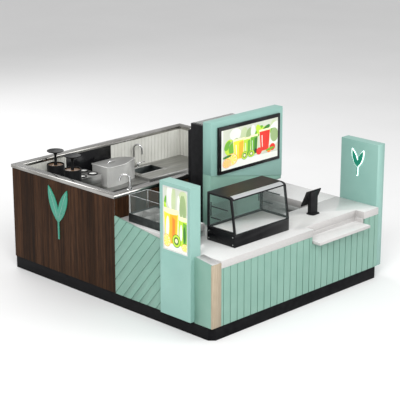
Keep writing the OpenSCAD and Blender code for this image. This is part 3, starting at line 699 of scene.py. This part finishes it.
def turned(shape, centre, profile, sides=40):
    """A turned form from pairs of radius and height about an upright axis."""
    angles = [math.tau * k / sides for k in range(sides)]
    rings = []
    for radius, height in profile:
        if radius < 1e-6:
            rings.append([shape.verts.new((centre[0], centre[1], height))])
        else:
            rings.append([shape.verts.new((centre[0] + radius * math.cos(angle),
                                           centre[1] + radius * math.sin(angle), height))
                          for angle in angles])
    for low, high in zip(rings, rings[1:]):
        for k in range(sides):
            corners = [low[k % len(low)], low[(k + 1) % len(low)],
                       high[(k + 1) % len(high)], high[k % len(high)]]
            unique = [v for i, v in enumerate(corners) if v not in corners[:i]]
            if len(unique) > 2:
                shape.faces.new(unique)


chrome = laminate("chrome_plate", (0.62, 0.62, 0.62), (0.70, 0.70, 0.70), 0.08, metallic=1.0,
                  speckle=4.0, bump=0.0, swing=0.04)
waste = bmesh.new()
turned(waste, ((bowl_low.x + bowl_high.x) / 2, (bowl_low.y + bowl_high.y) / 2),
       [(0.0, bowl_low.z + 0.006), (0.020, bowl_low.z + 0.005), (0.026, bowl_low.z + 0.008),
        (0.040, bowl_low.z + 0.008), (0.044, bowl_low.z + 0.004)])
fit_piece("sink_waste", waste, chrome)
for tube in ["sink_tap_spout", "rinse_tap_spout", "tap_collars"]:
    frame["nodes"][tube].data.materials[0] = chrome
    frame["nodes"][tube].data.shade_smooth()
    frame["nodes"][tube].data.set_sharp_from_angle(angle=math.radians(35))
tap_fittings = bmesh.new()
collar_fit, flange = 0.0242, 0.036
for tap, level in [("sink_tap", sink_high.z), ("rinse_tap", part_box("wall_cap")[1].z)]:
    axis = next(j for j in frame["joints"] if j["child"] == tap)["pos_m"]
    turned(tap_fittings, axis, [(collar_fit, level), (flange, level), (flange, level + 0.004),
                                (collar_fit, level + 0.009)])
    if tap == "sink_tap":
        turned(tap_fittings, (axis[0] + 0.07, axis[1]), [
            (0.022, level), (0.022, level + 0.05), (0.018, level + 0.056), (0.0, level + 0.058)])
        round_bar(tap_fittings, [(axis[0] + 0.07, axis[1], level + 0.045),
                                 (axis[0] + 0.11, axis[1] - 0.03, level + 0.06),
                                 (axis[0] + 0.15, axis[1] - 0.05, level + 0.064)], 0.006)
fit_piece("tap_flanges_and_lever", tap_fittings, chrome)


# --- Cabinet fronts inside the block ------------------------------------------------------
# Steel-faced doors under the worktops, on the staff side. They stand a little proud of
# the cabinet, with a narrow gap between them, and each has an upright bar pull.
fit_piece("inner_fronts_sheet", cast_of("inner_cabinet_fronts"), steel,
          edge=0.001, stands_for=["inner_cabinet_fronts"])
inner_low, inner_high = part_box("inner_cabinet_fronts")
steel_doors, door_pulls = bmesh.new(), bmesh.new()
door_count, door_run = 5, inner_high.x - inner_low.x - 0.03
work_front = sink_low.y + 0.018
door_thick, door_foot, grip_foot, grip_head = 0.005, 0.16, 0.60, 0.74
for k in range(door_count):
    left = inner_low.x + 0.022 + k * door_run / door_count
    right = left + door_run / door_count - 2 * front_gap
    add_slab(steel_doors, oblong(left, door_foot, right, inner_high.z - 0.01),
             lambda u, v, d: (u, work_front - d, v), 0.0, door_thick)
    grip = [(work_front - door_thick, grip_foot), (work_front - pull_reach, grip_foot),
            (work_front - pull_reach, grip_head), (work_front - door_thick, grip_head)]
    round_bar(door_pulls, [(right - 0.03, y, z) for y, z in grip], pull_radius)
fit_piece("inner_steel_doors", steel_doors, steel, edge=0.001)
fit_piece("inner_door_pulls", door_pulls, chrome)


# --- Machines on the worktop ---------------------------------------------------------------
# A steel ice box with a flat lid and handle, a low housing with four lidded pots in black
# rims, and a drink mixer: two black pots of brown syrup, each with a column and a dish.
box_steel = laminate("polished_sheet_steel", (0.72, 0.72, 0.70), (0.84, 0.84, 0.81), 0.34,
                     metallic=0.25, speckle=2.0, stretch=(3.0, 3.0, 0.8), bump=0.01, swing=0.12)
ice_low, ice_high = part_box("ice_box")
fit_piece("ice_box_shell", cast_of("ice_box"), box_steel, edge=0.004, steps=3,
          stands_for=["ice_box"])
shell = [v.co for v in frame["nodes"]["ice_box"].data.vertices]
rim = {(round(p.x, 4), round(p.y, 4)) for p in shell if p.z > ice_high.z - 0.001}
middle = Vector(((ice_low.x + ice_high.x) / 2, (ice_low.y + ice_high.y) / 2))
around = sorted(rim, key=lambda p: math.atan2(p[1] - middle.y, p[0] - middle.x))
lid_sheet = bmesh.new()
lid_share = 0.965
add_slab(lid_sheet, [middle + (Vector(p) - middle) * lid_share for p in around],
         laid_level, ice_high.z - 0.001, ice_high.z + 0.0012)
lid_grey = laminate("lid_sheet_steel", (0.27, 0.27, 0.26), (0.34, 0.34, 0.33), 0.42,
                    metallic=0.5, speckle=2.0, bump=0.01)
fit_piece("ice_box_lid", lid_sheet, lid_grey, edge=0.0005)
lid_handle = bmesh.new()
grip_x, grip_y, lid = ice_low.x + 0.20, middle.y, ice_high.z
half_grip = [(0.035, 0.022), (0.05, 0.014), (0.055, 0.0)]
grip = [(-reach, rise) for reach, rise in reversed(half_grip)] + half_grip
round_bar(lid_handle, [(grip_x + reach, grip_y, lid + rise) for reach, rise in grip], 0.008)
fit_piece("ice_box_handle", lid_handle, chrome)

pot_low, pot_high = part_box("pot_housing")
housing_top = pot_high.z - 0.012
housing, rims, lids = bmesh.new(), bmesh.new(), bmesh.new()
add_slab(housing, oblong(pot_low.x, pot_low.y, pot_high.x, pot_high.y), laid_level, pot_low.z,
         housing_top)
for u in (0.225, 0.775):
    for v in (0.225, 0.775):
        spot = (pot_low.x + u * (pot_high.x - pot_low.x), pot_low.y + v * (pot_high.y - pot_low.y))
        turned(rims, spot, [(0.050, housing_top), (0.050, housing_top + 0.008),
                            (0.054, housing_top + 0.012), (0.062, housing_top + 0.012),
                            (0.066, housing_top + 0.008), (0.066, housing_top)])
        turned(lids, spot, [(0.0505, housing_top + 0.003), (0.046, housing_top + 0.006),
                            (0.012, housing_top + 0.009), (0.010, housing_top + 0.012),
                            (0.0, housing_top + 0.012)])
fit_piece("pot_housing_sheet", housing, steel, edge=0.003,
          stands_for=["pot_housing"])
machine_black = laminate("machine_black", (0.008, 0.008, 0.009), (0.014, 0.014, 0.015), 0.46,
                         speckle=18.0, gleam=0.14)
fit_piece("pot_rims", rims, machine_black)
fit_piece("pot_lids", lids, box_steel)

mixer_low, mixer_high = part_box("drink_mixer")
pot_radius = 0.42 * (mixer_high.x - mixer_low.x)
pot_foot, pot_top = mixer_low.z + 0.058, mixer_high.z - 0.172
plinth, pots, columns, syrup = bmesh.new(), bmesh.new(), bmesh.new(), bmesh.new()
add_slab(plinth, oblong(mixer_low.x, mixer_low.y, mixer_high.x, mixer_high.y), laid_level,
         mixer_low.z, pot_foot)
for share in (0.205, 0.795):
    spot = ((mixer_low.x + mixer_high.x) / 2,
            mixer_low.y + share * (mixer_high.y - mixer_low.y))
    turned(pots, spot, [(0.0, pot_foot), (pot_radius * 0.94, pot_foot),
                        (pot_radius, pot_foot + 0.02), (pot_radius, pot_top - 0.012),
                        (pot_radius * 0.97, pot_top), (pot_radius * 0.92, pot_top),
                        (pot_radius * 0.90, pot_top - 0.02), (pot_radius * 0.90, pot_top - 0.03)])
    turned(syrup, spot, [(pot_radius * 0.905, pot_top - 0.016), (pot_radius * 0.5, pot_top - 0.012),
                         (0.016, pot_top - 0.010)])
    turned(columns, spot, [(0.024, pot_top - 0.02), (0.017, pot_top + 0.02),
                           (0.015, mixer_high.z - 0.06), (0.026, mixer_high.z - 0.036),
                           (0.040, mixer_high.z - 0.032), (0.098, mixer_high.z - 0.012),
                           (0.105, mixer_high.z - 0.006), (0.104, mixer_high.z),
                           (0.097, mixer_high.z - 0.001), (0.060, mixer_high.z - 0.012),
                           (0.0, mixer_high.z - 0.015)])
fit_piece("mixer_plinth", plinth, machine_black, edge=0.004,
          stands_for=["drink_mixer"])
fit_piece("mixer_pots", pots, machine_black)
fit_piece("mixer_columns_and_dishes", columns, machine_black)
syrup_brown = laminate("syrup_and_seeds", (0.05, 0.025, 0.012), (0.30, 0.17, 0.09), 0.30,
                       speckle=55.0, bump=0.5)
fit_piece("mixer_syrup", syrup, syrup_brown)


# --- Fridge ------------------------------------------------------------------------------
# A black upright fridge behind the menu wall, with a slatted grey vent on its top and a
# plain door with a long bar handle on the staff side.
fridge_low, fridge_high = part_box("fridge_body")
door_low, door_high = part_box("fridge_door")
fit_piece("fridge_cabinet", cast_of("fridge_body"), machine_black, edge=0.006,
          steps=3, stands_for=["fridge_body"])
fit_piece("fridge_door_leaf", cast_of("fridge_door"), machine_black, edge=0.008,
          steps=3, stands_for=["fridge_door"])
vent = bmesh.new()
slats, slat_margin = 13, 0.035
for k in range(slats):
    y = fridge_low.y + slat_margin
    y += k * (fridge_high.y - fridge_low.y - 2 * slat_margin) / (slats - 1)
    round_bar(vent, [(fridge_low.x + 0.03, y, fridge_high.z + 0.003),
                     (fridge_high.x - 0.03, y, fridge_high.z + 0.003)], 0.007, 8)
fit_piece("fridge_vent_slats", vent, grey_laminate)
door_bar = bmesh.new()
bar_x = door_low.x + 0.05
round_bar(door_bar, [(bar_x, door_high.y, 0.95), (bar_x, door_high.y + 0.035, 0.96),
                     (bar_x, door_high.y + 0.035, 1.50), (bar_x, door_high.y, 1.51)], 0.009)
fit_piece("fridge_bar_handle", door_bar, chrome)
gasket = bmesh.new()
for z in (0.58, door_high.z - 0.008, door_low.z + 0.008):
    add_slab(gasket, oblong(door_low.x + 0.004, z - 0.002, door_high.x - 0.004, z + 0.002),
             lambda u, v, d: (u, door_high.y + d, v), 0.0, 0.0008)
fit_piece("fridge_door_seams", gasket, grey_laminate)


# --- Menu wall -------------------------------------------------------------------------------
# A painted board box that hangs over a set-back lower board, with a raked joint between
# them. The menu screen shows a generic row of juices and fruit inside a black bezel.
# The upper box is in the lighter copy of the mint, as painted light; the lower board keeps the
# plain mint.
fit_piece("menu_board_box", cast_of("menu_board"), mint_painted_light, edge=0.004,
          stands_for=["menu_board"])
fit_piece("menu_lower_board", cast_of("menu_lower_wall"), mint, edge=0.002,
          stands_for=["menu_lower_wall"])
screen_low, screen_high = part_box("menu_screen")
fit_piece("menu_screen_case", cast_of("menu_screen"), gloss_black, edge=0.004,
          stands_for=["menu_screen"])
bezel = 0.042
menu_drawing = [
    (paper, oblong(0, 0, 1, 1)), (haze, oblong(0.03, 0.10, 1, 1)),
    (paper, oval(0.24, 0.84, 0.10, 0.14)), (mist, oval(0.40, 0.76, 0.07, 0.20)),
    (sage, leaf(0.46, 0.66, 0.26, 1.4)), (paper, oval(0.55, 0.80, 0.04, 0.16)),
    (mist, oval(0.92, 0.62, 0.08, 0.34)), (paper, leaf(0.90, 0.30, 0.62, 1.45)),
    (lime, oval(0.14, 0.54, 0.09, 0.20)), (green, leaf(0.07, 0.48, 0.24, 1.3)),
    (sage, leaf(0.14, 0.56, 0.22, 0.9)), (green, leaf(0.17, 0.36, 0.28, 1.5)),
    (green, leaf(0.60, 0.62, 0.30, 1.2)), (lime, leaf(0.62, 0.70, 0.24, 0.7)),
    (forest, leaf(0.70, 0.66, 0.26, 1.0)), (green, leaf(0.72, 0.64, 0.26, 0.4)),
    (lime, leaf(0.66, 0.72, 0.22, 1.7)), (sage, leaf(0.94, 0.40, 0.36, 1.6)),
    (paper, [(0.03, 0.0), (1, 0.0), (1, 0.14), (0.03, 0.20)]),
]
for u, foot, wide, high, juice, deep_juice in [
    (0.30, 0.20, 0.19, 0.46, yellow, amber), (0.45, 0.22, 0.13, 0.42, lime, green),
    (0.57, 0.22, 0.13, 0.44, green, forest), (0.76, 0.24, 0.19, 0.50, red, red),
]:
    menu_drawing += [
        (cream, tumbler(u, foot - 0.01, wide * 1.08, high + 0.06)),
        (juice, tumbler(u, foot, wide, high)),
        (deep_juice, [(u, foot + 0.01), (u + wide * 0.34, foot + 0.01),
                      (u + wide * 0.44, foot + high * 0.94), (u + wide * 0.04, foot + high * 0.9)]),
        (paper, [(u - wide * 0.24, foot + high * 0.2), (u - wide * 0.18, foot + high * 0.2),
                 (u - wide * 0.22, foot + high * 0.8), (u - wide * 0.30, foot + high * 0.8)]),
    ]
menu_drawing += citrus(0.17, 0.23, 0.11, 0.15, amber, yellow)
menu_drawing += citrus(0.09, 0.16, 0.07, 0.11, orange, amber)
menu_drawing += kiwi(0.40, 0.25, 0.055, 0.105) + kiwi(0.52, 0.25, 0.06, 0.09)
menu_drawing += [(dark_seed, oval(0.60, 0.30, 0.025, 0.05)), (red, oval(0.66, 0.26, 0.05, 0.09)),
                 (red, oval(0.90, 0.28, 0.05, 0.09)), (orange, oval(0.84, 0.22, 0.04, 0.06)),
                 (forest, leaf(0.02, 0.30, 0.16, 0.3)), (green, leaf(0.78, 0.22, 0.16, 0.3))]
lit_picture("menu_picture", (screen_low.x + bezel, screen_low.y, screen_low.z + bezel),
            (1, 0, 0), (0, 0, 1), (0, -1, 0), screen_high.x - screen_low.x - 2 * bezel,
            screen_high.z - screen_low.z - 2 * bezel, menu_drawing)


# --- Display case ----------------------------------------------------------------------------
# A countertop case with a black base and frame, leaning front glass, two glass shelves and
# a white deck. A silver band follows the curved hood over the glass. Two glass doors slide
# at the back on a low sill, and each has a black pull.
clear_glass = laminate("clear_glass", (0.30, 0.38, 0.36), (0.34, 0.42, 0.40), 0.08, speckle=0.8,
                       bump=0.0, swing=0.02, gleam=0.14)
clear_glass.node_tree.nodes["Principled BSDF"].inputs["Alpha"].default_value = 0.05
base_low, base_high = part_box("case_base")
fit_piece("case_base_box", cast_of("case_base"), gloss_black, edge=0.005,
          steps=3, stands_for=["case_base"])
fit_piece("case_black_frame", cast_of("case_frame"), machine_black, edge=0.0025,
          stands_for=["case_frame"])
for glass in ["case_glass", "case_shelves", "case_left_door", "case_right_door",
              "topping_guard"]:
    frame["nodes"][glass].data.materials[0] = clear_glass
silver = laminate("silver_strip", (0.66, 0.68, 0.69), (0.74, 0.76, 0.77), 0.22, metallic=0.7,
                  speckle=2.0, bump=0.0)
fit_piece("case_curved_hood", cast_of("case_light_strip"), machine_black,
          stands_for=["case_light_strip"])
hood_low, hood_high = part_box("case_light_strip")
band = bmesh.new()
swell = hood_high - hood_low
band_start, band_step, band_steps, band_proud = 14, 9, 6, 0.0012
for k in range(band_steps):
    edges = []
    for turn in (math.radians(band_start + band_step * (k + n)) for n in (0, 1)):
        edges.append((hood_high.y - (swell.y + band_proud) * math.sin(turn),
                      hood_low.z + (swell.z + band_proud) * math.cos(turn)))
    corners = [(x, y, z) for y, z in edges for x in (hood_low.x + 0.018, hood_high.x - 0.018)]
    corners = [band.verts.new(c) for c in (corners[0], corners[1], corners[3], corners[2])]
    band.faces.new(corners)
bmesh.ops.remove_doubles(band, verts=band.verts, dist=0.00001)
fit_piece("case_silver_band", band, silver)
deck = bmesh.new()
add_slab(deck, oblong(base_low.x + 0.03, base_low.y + 0.02, base_high.x - 0.03,
                      base_high.y - 0.03), laid_level, base_high.z, base_high.z + 0.006)
fit_piece("case_white_deck", deck, white_stone, edge=0.002)
shelf_rails = bmesh.new()
shelves_low, shelves_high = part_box("case_shelves")
for front, z in [(shelves_low.y + 0.11, shelves_low.z), (shelves_low.y, shelves_high.z - 0.006)]:
    for x in (shelves_low.x + 0.002, shelves_high.x - 0.012):
        add_slab(shelf_rails, oblong(x, front, x + 0.010, shelves_high.y), laid_level,
                 z - 0.011, z)
fit_piece("case_shelf_rails", shelf_rails, machine_black, edge=0.001)
base_trim = bmesh.new()
vent_slots, slot_pitch, slot_wide, slot_margin = 9, 0.024, 0.010, 0.035
for k in range(vent_slots):
    x = base_low.x + 0.60 + k * slot_pitch
    add_slab(base_trim, oblong(x, base_low.z + slot_margin, x + slot_wide,
                               base_high.z - slot_margin),
             lambda u, v, d: (u, base_high.y + d, v), 0.0, 0.001)
for y in (base_low.y + 0.03, base_high.y - 0.03):
    for z in (base_low.z + 0.03, base_high.z - 0.03):
        screw_head = [(base_low.x - 0.002, y, z), (base_low.x + 0.001, y, z)]
        round_bar(base_trim, screw_head, 0.006)
fit_piece("case_vent_and_screws", base_trim, grey_laminate)
pull_wide, pull_inset, pull_margin = 0.016, 0.012, 0.10
for door in ["left_door", "right_door"]:
    pane_low, pane_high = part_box("case_" + door)
    pull = bmesh.new()
    x = pane_low.x + pull_inset
    if door == "right_door":
        x = pane_high.x - pull_inset - pull_wide
    add_slab(pull, oblong(x, pane_low.z + pull_margin, x + pull_wide, pane_high.z - pull_margin),
             lambda u, v, d: (u, pane_high.y - 0.0005 + d, v), 0.0, 0.0035)
    fit_piece("case_" + door + "_pull", pull, machine_black, body=door,
              edge=0.001)


# --- Topping display --------------------------------------------------------------------------
# A steel trough, darkened as painted shade, with six loose pans, under a glass guard on
# four slim posts. The guard's upper edges are polished, and silver bars laid along them
# are a painted highlight for the light they catch.
fit_piece("topping_trough", cast_of("topping_base"), steel_in_painted_shade, edge=0.002,
          stands_for=["topping_base"])
trough_low, trough_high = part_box("topping_base")
guard_low, guard_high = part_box("topping_guard")
pans, posts = bmesh.new(), bmesh.new()
pan_floor, pan_top = trough_low.z + 0.014, trough_high.z - 0.012
pan_wide, pan_long, pan_taper, pan_lip = 0.188, 0.187, 0.012, 0.004
pan_margin, pan_gap = 0.018, 0.006
for k in range(3):
    for m in range(2):
        y0 = trough_low.y + pan_margin + k * (pan_long + pan_gap)
        x0 = trough_low.x + pan_margin + m * (pan_wide + pan_gap)
        x1, y1 = x0 + pan_wide, y0 + pan_long
        foot = oblong(x0 + pan_taper, y0 + pan_taper, x1 - pan_taper, y1 - pan_taper)
        inside = oblong(x0 + pan_lip, y0 + pan_lip, x1 - pan_lip, y1 - pan_lip)
        low = [pans.verts.new((x, y, pan_floor)) for x, y in foot]
        high = [pans.verts.new((x, y, pan_top)) for x, y in oblong(x0, y0, x1, y1)]
        lip = [pans.verts.new((x, y, pan_top - 0.001)) for x, y in inside]
        pit = [pans.verts.new((x, y, pan_floor + 0.002)) for x, y in foot]
        for a, b in [(low, high), (high, lip), (lip, pit)]:
            for i in range(4):
                pans.faces.new((a[i], a[(i + 1) % 4], b[(i + 1) % 4], b[i]))
        pans.faces.new(pit)
        pans.faces.new(low[::-1])
fit_piece("topping_pans", pans, lid_grey, edge=0.003)
post_inset = 0.012
for x in (guard_low.x + post_inset, guard_high.x - post_inset):
    for y in (guard_low.y + post_inset, guard_high.y - post_inset):
        round_bar(posts, [(x, y, trough_high.z - 0.002), (x, y, guard_high.z - 0.006)], 0.006)
fit_piece("guard_posts", posts, chrome)
# Silver bars on the guard's upper edges: a painted highlight where the glass catches light.
guard_edge_highlights = bmesh.new()
rim = oblong(guard_low.x + 0.003, guard_low.y + 0.003, guard_high.x - 0.003,
             guard_high.y - 0.003)
for k in range(4):
    round_bar(guard_edge_highlights, [(*rim[k - 1], guard_high.z - 0.002), (*rim[k], guard_high.z - 0.002)],
              0.0018, 8)
fit_piece("guard_glass_edge_highlights", guard_edge_highlights, silver)


# --- Till stand -----------------------------------------------------------------------------
# A black moulded stand on the front counter, in one casting with its screen. The screen
# leans back from the staff, and its face is a thin sheet of dark glass.
till_low, till_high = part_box("till_stand")
fit_piece("till_stand_casting", cast_of("till_stand"), machine_black,
          edge=0.003, steps=3, stands_for=["till_stand"])
slope = math.radians(24)
face_low = Vector(((till_low.x + till_high.x) / 2, till_high.y, till_low.z + 0.1007))
half = (till_high.x - till_low.x) / 2 - 0.014
screen_face = bmesh.new()
add_slab(screen_face, oblong(-half, 0.014, half, 0.198), lambda u, v, d: (
    face_low.x + u, face_low.y - v * math.sin(slope) + d * math.cos(slope),
    face_low.z + v * math.cos(slope) + d * math.sin(slope)), -0.001, 0.0)
fit_piece("till_screen_glass", screen_face, gloss_black)


# --- Studio ---------------------------------------------------------------------------
# A plain pale floor under a white sky, with three large soft lights above the kiosk. The
# camera looks down on its front left corner through a long lens.
floor = bmesh.new()
bmesh.ops.create_grid(floor, x_segments=1, y_segments=1, size=60.0)
floor_mesh = bpy.data.meshes.new("studio_floor")
floor.to_mesh(floor_mesh)
floor.free()
studio_floor = bpy.data.objects.new("studio_floor", floor_mesh)
bpy.context.scene.collection.objects.link(studio_floor)
studio_floor.location.z = -0.002
floor_white = laminate("studio_floor_paint", (0.86, 0.86, 0.86), (0.88, 0.88, 0.88), 0.8,
                       speckle=0.5, bump=0.0)
floor_mesh.materials.append(floor_white)

sky = bpy.data.worlds.new("studio_sky")
bpy.context.scene.world = sky
sky.use_nodes = True
sky.node_tree.nodes["Background"].inputs["Color"].default_value = (1.0, 1.0, 1.0, 1.0)
sky.node_tree.nodes["Background"].inputs["Strength"].default_value = 0.62
for name, power, size, spot in [
    ("key_light", 900.0, 6.0, (-7.0, -6.0, 8.5)),
    ("front_light", 380.0, 6.0, (5.0, -9.0, 6.0)),
    ("back_light", 350.0, 6.0, (2.0, 9.0, 7.0)),
]:
    lamp = bpy.data.lights.new(name, "AREA")
    lamp.energy = power
    lamp.size = size
    holder = bpy.data.objects.new(name, lamp)
    bpy.context.scene.collection.objects.link(holder)
    holder.location = spot
    aim = Vector((0.0, 0.0, 0.8)) - Vector(spot)
    holder.rotation_euler = aim.to_track_quat("-Z", "Y").to_euler()

eye = bpy.data.cameras.new("camera")
eye.lens = 125.51
eye.sensor_width = 36.0
camera = bpy.data.objects.new("camera", eye)
bpy.context.scene.collection.objects.link(camera)
camera.location = (-11.490, -11.460, 5.9515)
camera.rotation_euler = (math.radians(72.82), 0.0, math.radians(-45.13))
bpy.context.scene.camera = camera
bpy.context.scene.view_settings.view_transform = "Standard"
